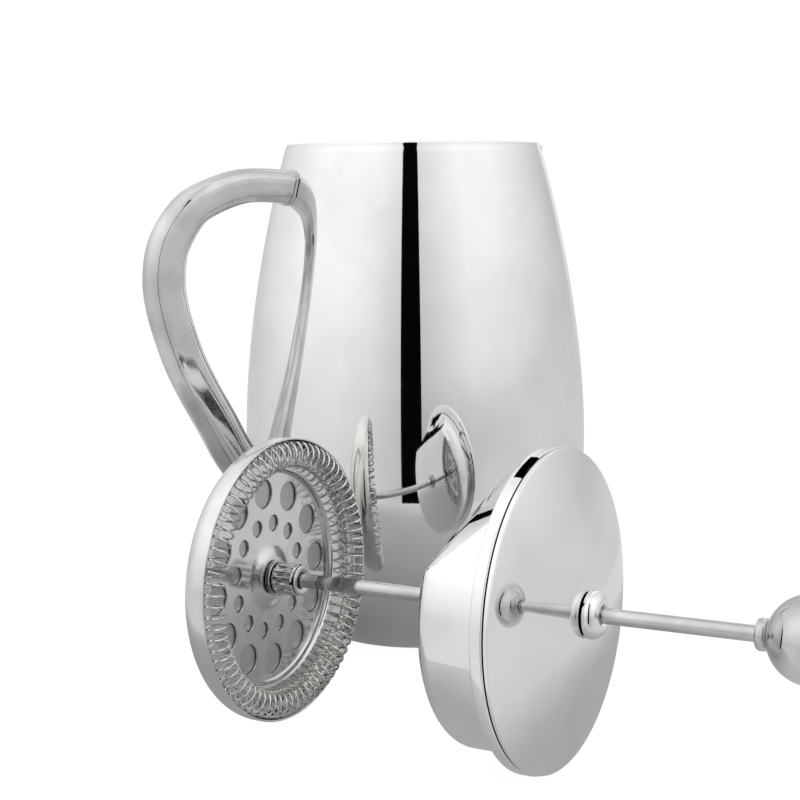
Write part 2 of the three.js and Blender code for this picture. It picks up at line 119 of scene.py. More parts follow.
def applyBevel(piece, width, segments=2, angle=30):
    selectOnly(piece)
    bevel = piece.modifiers.new("edge", 'BEVEL')
    bevel.width = width * mm
    bevel.segments = segments
    bevel.limit_method = 'ANGLE'
    bevel.angle_limit = math.radians(angle)
    bevel.harden_normals = False
    bpy.ops.object.modifier_apply(modifier="edge")


def boxCutter(size, place, turn=0.0):
    bpy.ops.object.select_all(action='DESELECT')
    bpy.ops.mesh.primitive_cube_add(size=1, location=(0, 0, 0))
    cutter = bpy.context.object
    cutter.matrix_world = (Matrix.Rotation(math.radians(turn), 4, 'Z')
                           @ Matrix.Translation(Vector(place) * mm)
                           @ Matrix.Diagonal((size[0] * mm, size[1] * mm, size[2] * mm, 1)))
    bpy.ops.object.transform_apply(location=True, rotation=True, scale=True)
    return cutter


# where the plunger and lid lie
laidPlace = {"bearing": -59.8, "aside": 121.1, "forward": 22.2, "panRadius": 49.2, "panEdge": -3.5,
             "lidRadius": 51.6, "lidEdge": 94.2}


def laidMatrix(look):
    tilt = math.atan((look["lidRadius"] - look["panRadius"]) / (look["lidEdge"] - look["panEdge"]))
    bearing = math.radians(look["bearing"])
    along = Vector((math.cos(tilt) * math.cos(bearing), math.cos(tilt) * math.sin(bearing), math.sin(tilt)))
    up = (Vector((0, 0, 1)) - along * along.z).normalized()
    across = along.cross(up)
    x = math.sin(bearing) * look["aside"] + math.cos(bearing) * look["forward"]
    y = math.sin(bearing) * look["forward"] - math.cos(bearing) * look["aside"]
    z = look["panRadius"] * math.cos(tilt) - look["panEdge"] * math.sin(tilt)
    turn = Matrix((up, across, along)).transposed().to_4x4()
    return Matrix.Translation(Vector((x, y, z)) * mm) @ turn


layDown = laidMatrix(laidPlace)


def place(piece, body, material, slot, *replaced, laid=False):
    if laid:
        selectOnly(piece)
        piece.matrix_world = layDown @ piece.matrix_world
        bpy.ops.object.transform_apply(location=True, rotation=True, scale=True)
    piece.data.materials.clear()
    piece.data.materials.append(material)
    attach(piece, body)
    if replaced:
        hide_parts(*replaced)
    return piece


# finishes
steelLooks = {
    "mirror-polished stainless": {  # buffed to a mirror: a faint haze and hardly any grain
        "dark": "#e2e2e1", "light": "#efefee", "hazeSize": 38, "rough": (0.018, 0.05),
        "grainSize": 0.9, "grainStretch": (1, 1, 1), "bump": 0.004},
    "polished stainless bar with painted shade": {  # solid bar, buffed by hand: a greyer shine than the thin sheet, its darker base colour painted shade for the dark reflections on handle, rod and knob
        "dark": "#b9b9b8", "light": "#d2d2d1", "hazeSize": 16, "rough": (0.03, 0.08),
        "grainSize": 0.8, "grainStretch": (1, 1, 1), "bump": 0.006},
    "satin brushed stainless": {  # drawn cup brushed round its wall
        "dark": "#b4b4b2", "light": "#dededc", "hazeSize": 22, "rough": (0.2, 0.34),
        "grainSize": 0.35, "grainStretch": (1, 1, 9), "bump": 0.05},
    "bright pressed stainless sheet": {  # rolled sheet, pressed and lightly buffed
        "dark": "#d3d3d1", "light": "#dededc", "hazeSize": 14, "rough": (0.12, 0.18),
        "grainSize": 0.6, "grainStretch": (1, 1, 1), "bump": 0.02},
    "turned stainless": {  # lathe-turned small pieces, with fine tool marks
        "dark": "#8d8d8b", "light": "#c9c9c7", "hazeSize": 6, "rough": (0.12, 0.28),
        "grainSize": 0.3, "grainStretch": (1, 1, 1), "bump": 0.06},
    "bright drawn spring wire": {  # hard-drawn wire, shiny with draw lines
        "dark": "#b9b9b7", "light": "#ececea", "hazeSize": 3, "rough": (0.06, 0.16),
        "grainSize": 0.2, "grainStretch": (1, 1, 1), "bump": 0.03},
}


def steelMaterial(name, look):
    material, tree = emptyMaterial(name)
    where = addNode(tree, 'ShaderNodeTexCoord', {}, {})
    haze = addNode(tree, 'ShaderNodeTexNoise', {'Scale': 1000 / look["hazeSize"], 'Detail': 3.0,
                                               'Roughness': 0.55}, {'Vector': where.outputs['Object']})
    tint = addNode(tree, 'ShaderNodeValToRGB', {}, {'Fac': haze.outputs['Fac']})
    tint.color_ramp.elements[0].position = 0.3
    tint.color_ramp.elements[0].color = linearColour(look["dark"])
    tint.color_ramp.elements[1].position = 0.62
    tint.color_ramp.elements[1].color = linearColour(look["light"])
    grainSpace = addNode(tree, 'ShaderNodeMapping', {'Scale': look["grainStretch"]},
                         {'Vector': where.outputs['Object']})
    grain = addNode(tree, 'ShaderNodeTexNoise', {'Scale': 1000 / look["grainSize"], 'Detail': 2.0},
                    {'Vector': grainSpace.outputs['Vector']})
    mixed = addNode(tree, 'ShaderNodeMath', {'operation': 'MULTIPLY'}, {})
    tree.links.new(haze.outputs['Fac'], mixed.inputs[0])
    tree.links.new(grain.outputs['Fac'], mixed.inputs[1])
    rough = addNode(tree, 'ShaderNodeMapRange', {'From Min': 0.12, 'From Max': 0.42, 'To Min': look["rough"][0],
                                                'To Max': look["rough"][1]}, {'Value': mixed.outputs[0]})
    relief = addNode(tree, 'ShaderNodeBump', {'Strength': look["bump"], 'Distance': 0.0001},
                     {'Height': grain.outputs['Fac']})
    shader = addNode(tree, 'ShaderNodeBsdfPrincipled', {'Metallic': 1.0},
                     {'Base Color': tint.outputs['Color'], 'Roughness': rough.outputs['Result'],
                      'Normal': relief.outputs['Normal']})
    addNode(tree, 'ShaderNodeOutputMaterial', {}, {'Surface': shader.outputs['BSDF']})
    return material


# the weave is a real pattern; the darker hole colour between the wires is painted shade in the gaps
meshLook = {"wire": "#cfcfcd", "hole": "#8a8a88", "pitch": 0.25, "rough": 0.3}


def wovenMesh(look):
    material, tree = emptyMaterial("fine woven stainless mesh")
    where = addNode(tree, 'ShaderNodeTexCoord', {}, {})
    turn = layDown.to_3x3().transposed().to_euler()  # lines up the weave with the disc
    flat = addNode(tree, 'ShaderNodeMapping', {'Rotation': turn}, {'Vector': where.outputs['Object']})
    waveScale = 1000 / look["pitch"] / 20
    warp = addNode(tree, 'ShaderNodeTexWave', {'bands_direction': 'X', 'Scale': waveScale * 3.14},
                   {'Vector': flat.outputs['Vector']})
    weft = addNode(tree, 'ShaderNodeTexWave', {'bands_direction': 'Y', 'Scale': waveScale * 3.14},
                   {'Vector': flat.outputs['Vector']})
    cloth = addNode(tree, 'ShaderNodeMath', {'operation': 'MAXIMUM'}, {})
    tree.links.new(warp.outputs['Fac'], cloth.inputs[0])
    tree.links.new(weft.outputs['Fac'], cloth.inputs[1])
    tint = addNode(tree, 'ShaderNodeValToRGB', {}, {'Fac': cloth.outputs[0]})
    # painted shade: the gaps of the weave take the darker hole colour
    tint.color_ramp.elements[0].position = 0.25
    tint.color_ramp.elements[0].color = linearColour(look["hole"])
    tint.color_ramp.elements[1].position = 0.75
    tint.color_ramp.elements[1].color = linearColour(look["wire"])
    relief = addNode(tree, 'ShaderNodeBump', {'Strength': 0.35, 'Distance': 0.0001}, {'Height': cloth.outputs[0]})
    shader = addNode(tree, 'ShaderNodeBsdfPrincipled', {'Metallic': 1.0, 'Roughness': look["rough"]},
                     {'Base Color': tint.outputs['Color'], 'Normal': relief.outputs['Normal']})
    addNode(tree, 'ShaderNodeOutputMaterial', {}, {'Surface': shader.outputs['BSDF']})
    return material


rubberLook = {"dark": "#0b0b0b", "light": "#1d1d1c", "speckle": 0.6, "rough": 0.62}


def sealRubber(look):
    material, tree = emptyMaterial("moulded silicone seal")  # matt, with a slight dusty bloom
    where = addNode(tree, 'ShaderNodeTexCoord', {}, {})
    dust = addNode(tree, 'ShaderNodeTexNoise', {'Scale': 1000 / look["speckle"], 'Detail': 4.0},
                   {'Vector': where.outputs['Object']})
    tint = addNode(tree, 'ShaderNodeValToRGB', {}, {'Fac': dust.outputs['Fac']})
    tint.color_ramp.elements[0].color = linearColour(look["dark"])
    tint.color_ramp.elements[1].color = linearColour(look["light"])
    shader = addNode(tree, 'ShaderNodeBsdfPrincipled', {'Roughness': look["rough"]},
                     {'Base Color': tint.outputs['Color']})
    addNode(tree, 'ShaderNodeOutputMaterial', {}, {'Surface': shader.outputs['BSDF']})
    return material


mirrorSteel = steelMaterial("mirror-polished stainless", steelLooks["mirror-polished stainless"])
# painted shade: this copy of polished stainless is darker, standing in for darker reflections
shadedBarSteel = steelMaterial("polished stainless bar with painted shade", steelLooks["polished stainless bar with painted shade"])
brushedSteel = steelMaterial("satin brushed stainless", steelLooks["satin brushed stainless"])
sheetSteel = steelMaterial("bright pressed stainless sheet", steelLooks["bright pressed stainless sheet"])
turnedSteel = steelMaterial("turned stainless", steelLooks["turned stainless"])
springWire = steelMaterial("bright drawn spring wire", steelLooks["bright drawn spring wire"])
meshCloth = wovenMesh(meshLook)
siliconeSeal = sealRubber(rubberLook)
print("finishes made")

# pot
potLook = {"height": 200, "rim": 51.2, "belly": 69.9, "bellyHeight": 81.2, "foot": 34, "power": 1.78,
           "wall": 0.5,
           "linerInner": 49.9, "linerWall": 0.5, "linerFloor": 13, "linerCorner": 7, "notchWidth": 18,
           "notchDepth": 13, "sides": 160}


def potRadius(z, look=potLook):
    if z < look["bellyHeight"]:
        part = (look["bellyHeight"] - z) / look["bellyHeight"]
        return look["foot"] + (look["belly"] - look["foot"]) * math.sqrt(max(0, 1 - part ** 2))
    part = (z - look["bellyHeight"]) / (look["height"] - look["bellyHeight"])
    return look["belly"] - (look["belly"] - look["rim"]) * part ** look["power"]


def potSide(extra, lowSteps, highSteps, look=potLook):
    points = []
    for i in range(lowSteps):
        angle = math.pi / 2 * i / lowSteps
        r = look["foot"] + (look["belly"] - look["foot"] + extra) * math.sin(angle)
        points.append((r, look["bellyHeight"] - (look["bellyHeight"] + extra) * math.cos(angle)))
    for i in range(highSteps + 1):
        part = i / highSteps
        z = look["bellyHeight"] + (look["height"] - look["bellyHeight"]) * part
        points.append((potRadius(z) + extra, z))
    return points


def makeShell(look):
    outer = potSide(0, 36, 54)[:-1]
    inner = list(reversed(potSide(-look["wall"], 16, 20)))[1:]
    top = look["height"]
    bead = [(look["rim"], top - 0.9)] + arcPoints(look["rim"] - 0.7, top - 0.7, 0.7, 10, 90, 5)
    bead += arcPoints(look["linerInner"] + 0.35, top - 0.4, 0.4, 90, 180, 4)
    bead += [(look["linerInner"] - 0.05, top - 0.9), (look["rim"] - look["wall"], top - 1.2)]
    shell = turnedPiece("pot_shell", outer + bead + inner + [outer[0]], look["sides"])
    cutAway(shell, [boxCutter((40, look["notchWidth"], 2 * look["notchDepth"]), (60, 0, top))])
    smooth(shell)
    return shell


def makeLiner(look):
    inner, wall = look["linerInner"], look["linerWall"]
    floor, corner = look["linerFloor"], look["linerCorner"]
    top = look["height"] - 0.35
    outside = arcPoints(inner + wall - corner, floor - wall + corner, corner, -90, 0, 10)
    inside = arcPoints(inner - corner, floor + corner, corner, 0, -90, 10)
    outline = [(0, floor - wall)] + outside + [(inner + wall, top), (inner, top)] + inside + [(0, floor)]
    liner = turnedPiece("pot_liner", outline, look["sides"])
    cutAway(liner, [boxCutter((40, look["notchWidth"], 2 * look["notchDepth"]), (60, 0, look["height"]))])
    smooth(liner)
    return liner


place(makeShell(potLook), "pot", mirrorSteel, "polished_steel", "outer_shell")
place(makeLiner(potLook), "pot", brushedSteel, "brushed_liner", "inner_liner")
print("pot made")

# spout
spoutLook = {"reach": 63.8, "tip": 199.4, "rise": 33, "lean": 0.14, "halfAngle": 18, "wall": 0.9, "nose": 0.1,
             "columns": 32, "rows": 20}


def makeSpout(look):
    bpy.ops.object.select_all(action='DESELECT')
    bpy.ops.mesh.primitive_grid_add(x_subdivisions=look["columns"], y_subdivisions=look["rows"], size=2)
    spout = bpy.context.object
    spout.name = "spout_beak_formed"
    for vertex in spout.data.vertices:  # the flat sheet is folded to a V and let into the shell
        across, down = vertex.co.x, (1 - vertex.co.y) / 2
        nose = look["nose"]
        fold = (math.hypot(across, nose) - nose) / (math.hypot(1, nose) - nose)
        ridge = look["reach"] - look["lean"] * look["rise"] * down
        level = look["tip"] + 0.6 * fold - look["rise"] * down
        spread = math.radians(look["halfAngle"]) * (1 - down) ** 0.8
        root = potRadius(min(level, 200)) - 0.25
        ridge = max(ridge, root)
        x = ridge + (root * math.cos(spread) - ridge) * fold
        y = root * math.sin(spread) * fold * (1 if across > 0 else -1)
        vertex.co = Vector((x, y, level)) * mm
    selectOnly(spout)
    bpy.ops.object.mode_set(mode='EDIT')
    bpy.ops.mesh.select_all(action='SELECT')
    bpy.ops.mesh.normals_make_consistent(inside=False)
    bpy.ops.object.mode_set(mode='OBJECT')
    middle = spout.data.polygons[len(spout.data.polygons) // 2]
    if middle.normal.x < 0:
        spout.data.flip_normals()
    wall = spout.modifiers.new("wall", 'SOLIDIFY')
    wall.thickness = look["wall"] * mm
    wall.offset = -1
    bpy.ops.object.modifier_apply(modifier="wall")
    smooth(spout, 40)
    return spout


place(makeSpout(spoutLook), "pot", mirrorSteel, "polished_steel", "spout_beak")

# handle
handleLook = {"width": 12, "topThickness": 13, "gripThickness": 15.6, "crown": 3.6, "bevel": 3,
              "innerWidth": 7.4,
              "crease": 0.4, "stations": 90,
              "route": [(49.6, 182.6), (66, 184.2), (79, 183.5), (93.4, 178.2), (100.6, 172.3), (107.1, 161.5),
                        (109.1, 149), (107.9, 138.2), (105.1, 127.8), (101.3, 117), (96, 105.9), (89.4, 93.7),
                        (81.9, 79.6), (74.5, 71.5), (62, 67)]}


def routePoint(route, share):  # a smooth curve through the route's points
    spot = min(share * (len(route) - 1), len(route) - 1.000001)
    i = int(spot)
    t = spot - i
    a, b, c, d = [Vector(route[min(max(i + k, 0), len(route) - 1)]) for k in (-1, 0, 1, 2)]
    square, cube = 2 * a - 5 * b + 4 * c - d, 3 * b - a - 3 * c + d
    return 0.5 * (2 * b + (c - a) * t + square * t ** 2 + cube * t ** 3)


def handleSection(look, thickness):  # one side from the crown's middle to the inner face's middle
    top, half = thickness / 2, look["width"] / 2
    crown = [(top - look["crown"] * (s ** 2.2), half * s) for s in (0, 0.2, 0.4, 0.6, 0.78, 0.9, 1)]
    bevel, length = look["bevel"], 2 * top - look["bevel"] - look["crown"]
    flat = [(bevel - top + length * s, half) for s in (0.66, 0.33, 0)]
    return crown + flat + [(-top, look["innerWidth"] / 2), (-top, 0)]


def makeHandle(look):
    oneSide = handleSection(look, 15)
    count = 2 * (len(oneSide) - 1)
    bpy.ops.object.select_all(action='DESELECT')
    bpy.ops.mesh.primitive_circle_add(vertices=count, radius=1, fill_type='NGON', location=(0, 0, 0))
    handle = bpy.context.object
    handle.name = "d_handle"
    bpy.ops.object.mode_set(mode='EDIT')
    bpy.ops.mesh.select_all(action='SELECT')
    for i in range(look["stations"]):
        bpy.ops.mesh.extrude_region_move(TRANSFORM_OT_translate={"value": (0, 0, 1)})
    bpy.ops.object.mode_set(mode='OBJECT')
    for vertex in handle.data.vertices:  # the straight bar is bent along the route
        share = vertex.co.z / look["stations"]
        index = round(math.atan2(vertex.co.y, vertex.co.x) / (2 * math.pi) * count) % count
        swell = min(max((share - 0.1) / 0.35, 0), 1)
        swell = swell * swell * (3 - 2 * swell)
        thickness = look["topThickness"] + (look["gripThickness"] - look["topThickness"]) * swell
        side = handleSection(look, thickness)
        n, w = side[index] if index < len(side) else side[count - index]
        if index >= len(side):
            w = -w
        centre = routePoint(look["route"], share)
        after = routePoint(look["route"], min(share + 0.004, 1))
        ahead = after - routePoint(look["route"], max(share - 0.004, 0))
        ahead.normalize()
        outward = Vector((-ahead.y, ahead.x))
        spot = centre + outward * n
        vertex.co = Vector((-spot.x, w, spot.y)) * mm
    selectOnly(handle)
    bpy.ops.object.mode_set(mode='EDIT')
    bpy.ops.mesh.select_all(action='SELECT')
    bpy.ops.mesh.normals_make_consistent(inside=False)
    bpy.ops.object.mode_set(mode='OBJECT')
    applyBevel(handle, look["crease"], 2, 24)
    smooth(handle, 40)
    return handle


place(makeHandle(handleLook), "pot", shadedBarSteel, "polished_steel", "handle")
print("handle and spout made")

# lid
lidLook = {"start": 93.7, "flange": 51.6, "flangeThick": 4, "skirt": 46.1, "skirtWall": 1, "skirtDepth": 22,
           "corner": 5, "cap": 51.2, "capLow": 4.3, "capEdge": 1.4, "capRise": 9.5, "capWall": 1.2,
           "bore": 5.2, "slotBearing": 19, "slotWidth": 13, "slotDepth": 2.6, "panelSlope": 32,
           "panelInset": 2,
           "sides": 160}


def makeFlange(look):
    low, outer, inner = look["start"], look["flange"], look["skirt"] + 0.3
    high = low + look["flangeThick"]
    outline = [(inner, low)] + arcPoints(outer - 0.5, low + 0.5, 0.5, -90, 0, 4)
    outline += arcPoints(outer - 0.5, high - 0.5, 0.5, 0, 90, 4) + [(inner, high), (inner, low)]
    flange = turnedPiece("lid_flange_ring", outline, look["sides"])
    slot = boxCutter((9, look["slotWidth"], 2 * look["slotDepth"]), (outer, 0, high), look["slotBearing"])
    cutAway(flange, [slot])
    smooth(flange)
    return flange


def makeCap(look):
    low, outer, wall, bore = look["start"] + look["capLow"], look["cap"], look["capWall"], look["bore"]
    top = low + look["capEdge"]
    ball = (outer ** 2 + look["capRise"] ** 2) / (2 * look["capRise"])
    dome = lambda r: top + look["capRise"] - (ball - math.sqrt(ball ** 2 - r ** 2))
    outline = [(outer - wall, low), (outer - 0.25, low), (outer, low + 0.25), (outer, top - 0.35)]
    outline += [(outer - 0.08, top - 0.08), (outer - 0.3, dome(outer - 0.3) - 0.02)]
    outline += [(r, dome(r)) for r in [outer - 0.8 - (outer - 0.8 - bore) * i / 40 for i in range(41)]]
    outline += [(r, dome(r) - wall) for r in [bore + (outer - wall - bore) * i / 16 for i in range(17)]]
    cap = turnedPiece("lid_cap_dome", outline + [outline[0]], look["sides"])
    smooth(cap)
    return cap


def makeSkirt(look):
    start, corner, outer = look["start"], look["corner"], look["skirt"]
    bottom = start - look["skirtDepth"]
    outline = [(0, bottom), (20, bottom)] + arcPoints(outer - corner, bottom + corner, corner, -90, 0, 16)
    outline += [(outer, start - 4), (outer, start + 3.7)]
    skirt = turnedPiece("lid_skirt_cup", outline, look["sides"])
    slope, aim = math.radians(look["panelSlope"]), math.radians(look["slotBearing"])
    outward = Vector((math.cos(slope) * math.cos(aim), math.cos(slope) * math.sin(aim), -math.sin(slope)))
    inset = outer - look["panelInset"]
    spot = Vector((inset * math.cos(aim), inset * math.sin(aim), start)) * mm
    selectOnly(skirt)
    bpy.ops.object.mode_set(mode='EDIT')
    bpy.ops.mesh.select_all(action='SELECT')
    bpy.ops.mesh.bisect(plane_co=spot, plane_no=outward, use_fill=True, clear_outer=True)
    bpy.ops.mesh.select_all(action='SELECT')
    bpy.ops.mesh.normals_make_consistent(inside=False)
    bpy.ops.object.mode_set(mode='OBJECT')
    applyBevel(skirt, 0.8, 3, 22)
    wall = skirt.modifiers.new("wall", 'SOLIDIFY')
    wall.thickness = look["skirtWall"] * mm
    wall.offset = -1
    bpy.ops.object.modifier_apply(modifier="wall")
    hole = turnedPiece("bore", [(0, bottom - 2), (4.3, bottom - 2), (4.3, bottom + 4), (0, bottom + 4)], 48)
    cutAway(skirt, [hole])
    smooth(skirt, 30)
    return skirt


bushLook = {"seat": 109.1, "outer": 7.7, "height": 5.2, "shank": 4.9, "bore": 2.9, "low": 102.6}


def makeBush(look):
    seat, outer, high = look["seat"], look["outer"], look["seat"] + look["height"] - 0.3
    outline = [(look["bore"], look["low"]), (look["shank"], look["low"]), (look["shank"], seat)]
    outline.append((outer - 0.5, seat))
    outline += [(outer, seat + 0.5), (outer, seat + 1.2)]
    for i in range(1, 13):  # a plump rounded crown, then over the lip into the bore
        angle = math.pi / 2 * i / 12
        outline.append((4.1 + (outer - 4.1) * math.cos(angle),
                        seat + 1.2 + (high - seat - 1.2) * math.sin(angle)))
    outline += [(3.6, high - 0.15), (3.3, high - 0.6), (look["bore"] + 0.2, high - 1.4)]
    outline.append((look["bore"], high - 2))
    bush = turnedPiece("guide_bush_crown", outline + [outline[0]], 64)
    smooth(bush)
    return bush


place(makeFlange(lidLook), "lid", mirrorSteel, "polished_steel", "lid_flange", laid=True)
place(makeCap(lidLook), "lid", mirrorSteel, "polished_steel", "lid_cap", laid=True)
place(makeSkirt(lidLook), "lid", mirrorSteel, "polished_steel", "lid_skirt", laid=True)
place(makeBush(bushLook), "lid", mirrorSteel, "polished_steel", "guide_bush", laid=True)
print("lid made")

# rod and knob
rodLook = {"radius": 2.5, "low": -17.5, "high": 177.1}
knobLook = {"radius": 13.4, "centre": 178.66, "bore": 4.3, "neck": 162.4, "collar": 4.9, "collarLength": 3.5}


def makeRod(look):
    r = look["radius"]
    outline = [(0, look["low"]), (r - 0.5, look["low"]), (r, look["low"] + 0.5)]
    outline += [(r, look["low"] + (look["high"] - look["low"]) * i / 24) for i in range(1, 25)]
    outline.append((0, look["high"]))
    rod = turnedPiece("plunger_rod_bar", outline, 40)
    smooth(rod)
    return rod


def makeKnob(look):
    start = math.degrees(math.asin(look["bore"] / look["radius"])) - 90
    outline = arcPoints(0, look["centre"], look["radius"], start, 90, 56)
    outline[-1] = (0, look["centre"] + look["radius"])
    knob = turnedPiece("knob_ball", outline + [(0, look["centre"] + 0.5), (look["bore"], look["centre"] + 0.5),
                                              outline[0]], 96)
    smooth(knob)
    return knob


def makeCollar(look):
    low, high, r = look["neck"], look["neck"] + look["collarLength"], look["collar"]
    outline = [(2.8, low), (r - 1, low), (r - 0.3, low + 0.35), (r, low + 1)]
    outline += [(r, high - 0.8), (r - 0.2, high - 0.3), (r - 0.6, high), (2.8, high), (2.8, low)]
    collar = turnedPiece("knob_collar_ring", outline, 64)
    smooth(collar)
    return collar


place(makeRod(rodLook), "plunger", shadedBarSteel, "polished_steel", "plunger_rod", laid=True)
place(makeKnob(knobLook), "plunger", shadedBarSteel, "polished_steel", "knob", laid=True)
place(makeCollar(knobLook), "plunger", shadedBarSteel, "polished_steel", "knob_collar", laid=True)
print("rod and knob made")

# filter
hubLook = {"low": -7.8, "length": 8.6, "radius": 5.5, "ribs": 12, "depth": 0.7, "bore": 2.8}
coilLook = {"ring": 43.4, "section": 4.35, "wire": 0.38, "centre": -4.7, "turns": 78, "pointsPerTurn": 16}
plateLook = {"face": -12.4, "thick": 0.6, "domeRadius": 12, "domeHeight": 2.3, "domeTop": 5.7, "step": 37.1,
             "stepWidth": 1.6, "rim": 46.9, "rimLevel": -9.7, "largeRing": 29.6, "large": 5.3,
             "smallRing": 18.8,
             "small": 3, "holes": 12, "phase": -13.2}
panLook = {"radius": 49.2, "high": -3.5, "depth": 11.3, "corner": 8, "wall": 0.7, "bore": 5.3,
           "windowInner": 12, "windowOuter": 36, "spoke": 9}
screenLook = {"bore": 3, "radius": 40.9, "low": -13.8, "high": -13.3, "middle": 20}
hubRingLook = {"bore": 2.8, "radius": 6.2, "low": -9.8, "high": -8.1, "groove": 0.4}
washerLook = {"bore": 2.9, "radius": 5.2, "low": 1.1, "high": 2.1}


def makeHub(look):
    low, high, r = look["low"], look["low"] + look["length"], look["radius"]
    levels = [low, low + 0.5, low + 1.1, low + 1.6, high - 1.6, high - 1.1, high - 0.6, high]
    outline = [(look["bore"], low), (r - 0.3, low)] + [(r, z) for z in levels[1:-1]] + [(r - 0.4, high),
                                                                                       (look["bore"], high)]
    hub = turnedPiece("filter_hub_fluted", outline + [outline[0]], 12 * look["ribs"])
    for vertex in hub.data.vertices:  # flutes between the ribs, fading out at both ends
        radius = math.hypot(vertex.co.x, vertex.co.y)
        height = vertex.co.z / mm
        if radius > 4.5 * mm and low + 0.9 < height < high - 0.9:
            wave = math.cos(math.atan2(vertex.co.y, vertex.co.x) * look["ribs"])
            full = min((height - low - 0.9) / 0.7, (high - 0.9 - height) / 0.7, 1)
            shrink = 1 - look["depth"] * max(wave + 0.25, 0) * full * mm / radius
            vertex.co.x *= shrink
            vertex.co.y *= shrink
    smooth(hub, 40)
    return hub


def makeCoil(look):
    curve = bpy.data.curves.new("spring_coil_wire", 'CURVE')
    curve.dimensions = '3D'
    line = curve.splines.new('POLY')
    count = look["turns"] * look["pointsPerTurn"]
    line.points.add(count - 1)
    for i in range(count):
        ringAngle = 2 * math.pi * i / count
        turnAngle = ringAngle * look["turns"]
        r = look["ring"] + look["section"] * math.cos(turnAngle)
        z = look["centre"] + look["section"] * math.sin(turnAngle)
        line.points[i].co = (r * math.cos(ringAngle) * mm, r * math.sin(ringAngle) * mm, z * mm, 1)
    line.use_cyclic_u = True
    curve.bevel_depth = look["wire"] * mm
    curve.bevel_resolution = 2
    coil = bpy.data.objects.new("spring_coil_wire", curve)
    bpy.context.collection.objects.link(coil)
    selectOnly(coil)
    bpy.ops.object.convert(target='MESH')
    coil = bpy.context.object
    bpy.ops.object.shade_smooth()
    return coil


def makePlate(look):
    face, thick, rise = look["face"], look["thick"], look["domeHeight"]
    step, wide, rim, level = look["step"], look["stepWidth"], look["rim"], look["rimLevel"]
    front = [(2.9, face + rise), (look["domeTop"], face + rise), (look["domeTop"] + 0.6, face + rise - 0.08)]
    front += [(look["domeTop"] + 0.6 + (look["domeRadius"] - look["domeTop"] - 0.6) * s,
               face + rise * (0.5 + 0.5 * math.cos(math.pi * s)))
              for s in (0.15, 0.3, 0.45, 0.6, 0.75, 0.9, 1)]
    front += [(step - 1.2, face), (step - 0.6, face + 0.1), (step - 0.1, face + 0.5)]
    front.append((step + 0.2, level - 0.8))
    front += [(step + 0.7, level - 0.2), (step + wide, level), (rim, level)]
    back = [(r, z - thick) for r, z in reversed(front)]
    plate = turnedPiece("spiral_plate_pressed", front + back + [front[0]], 144)
    drills = []
    for i in range(look["holes"]):
        turn = math.radians(look["phase"]) + 2 * math.pi * i / look["holes"]
        for ring, radius, angle in ((look["smallRing"], look["small"], turn),
                                    (look["largeRing"], look["large"], turn + math.pi / look["holes"])):
            bpy.ops.object.select_all(action='DESELECT')
            bpy.ops.mesh.primitive_cylinder_add(vertices=40, radius=radius * mm, depth=4 * mm, location=(
                ring * math.cos(angle) * mm, ring * math.sin(angle) * mm, face * mm))
            drills.append(bpy.context.object)
    for drill in drills:
        drill.select_set(True)
    bpy.context.view_layer.objects.active = drills[0]
    bpy.ops.object.join()
    cutAway(plate, [drills[0]])
    smooth(plate, 28)
    return plate


def makePan(look):
    low, high, r = look["high"] - look["depth"], look["high"], look["radius"]
    corner, wall = look["corner"], look["wall"]
    outline = [(look["bore"], low), (20, low)] + arcPoints(r - corner, low + corner, corner, -90, 0, 18)
    outline += [(r, high - 0.35), (r - 0.12, high - 0.1), (r - 0.35, high), (r - wall, high - 0.1)]
    outline += arcPoints(r - corner, low + corner, corner - wall, 0, -90, 12) + [(look["bore"], low + wall)]
    pan = turnedPiece("cross_plate_pan", outline + [outline[0]], 144)
    window = turnedPiece("window", [(look["windowInner"], low - 2), (look["windowOuter"], low - 2),
                                   (look["windowOuter"], low + 2), (look["windowInner"], low + 2),
                                   (look["windowInner"], low - 2)], 96)
    bars = [boxCutter((120, look["spoke"], 8), (0, 0, low), turn) for turn in (0, 90)]
    cutAway(window, bars)
    cutAway(pan, [window])
    smooth(pan, 28)
    return pan


def makeScreen(look):
    bore, outer, low, high, middle = (look[key] for key in ("bore", "radius", "low", "high", "middle"))
    outline = [(bore, low), (middle, low), (outer, low), (outer, high), (middle, high), (bore, high)]
    screen = turnedPiece("mesh_screen_disc", outline + [outline[0]], 96)
    smooth(screen)
    return screen


def makeHubRing(look):
    bore, r, low, high, groove = (look[key] for key in ("bore", "radius", "low", "high", "groove"))
    outline = [(bore, low), (r - 0.3, low), (r, low + 0.3), (r, low + 0.6)]
    outline += [(r - groove, low + 0.8), (r - groove, low + 1.0), (r, low + 1.2), (r, high - 0.2)]
    outline += [(r - 0.2, high), (bore, high)]
    ring = turnedPiece("hub_ring_grooved", outline + [outline[0]], 64)
    smooth(ring)
    return ring


def makeHubWasher(look):  # its end is dished round the rod
    bore, r, low, high = (look[key] for key in ("bore", "radius", "low", "high"))
    outline = [(bore, low), (r - 0.3, low), (r, low + 0.25), (r, low + 0.6), (r - 0.3, high - 0.1)]
    outline += [(r - 0.8, high), (bore + 0.7, high - 0.15), (bore + 0.2, high - 0.4), (bore, high - 0.5)]
    washer = turnedPiece("hub_end_washer", outline + [outline[0]], 64)
    smooth(washer)
    return washer


place(makeHub(hubLook), "plunger", shadedBarSteel, "polished_steel", "filter_hub", laid=True)
place(makeHubRing(hubRingLook), "plunger", turnedSteel, "turned_steel", "hub_ring", laid=True)
place(makeHubWasher(washerLook), "plunger", shadedBarSteel, "polished_steel", "hub_washer", laid=True)
place(makeCoil(coilLook), "filter_stack", springWire, "spring_wire", "spring_coil", laid=True)
place(makePlate(plateLook), "filter_stack", sheetSteel, "pressed_steel", "spiral_plate", laid=True)
place(makeScreen(screenLook), "filter_stack", meshCloth, "woven_mesh", "mesh_screen", laid=True)
place(makePan(panLook), "cross_plate_assembly", sheetSteel, "pressed_steel", "cross_plate", laid=True)
print("filter made")

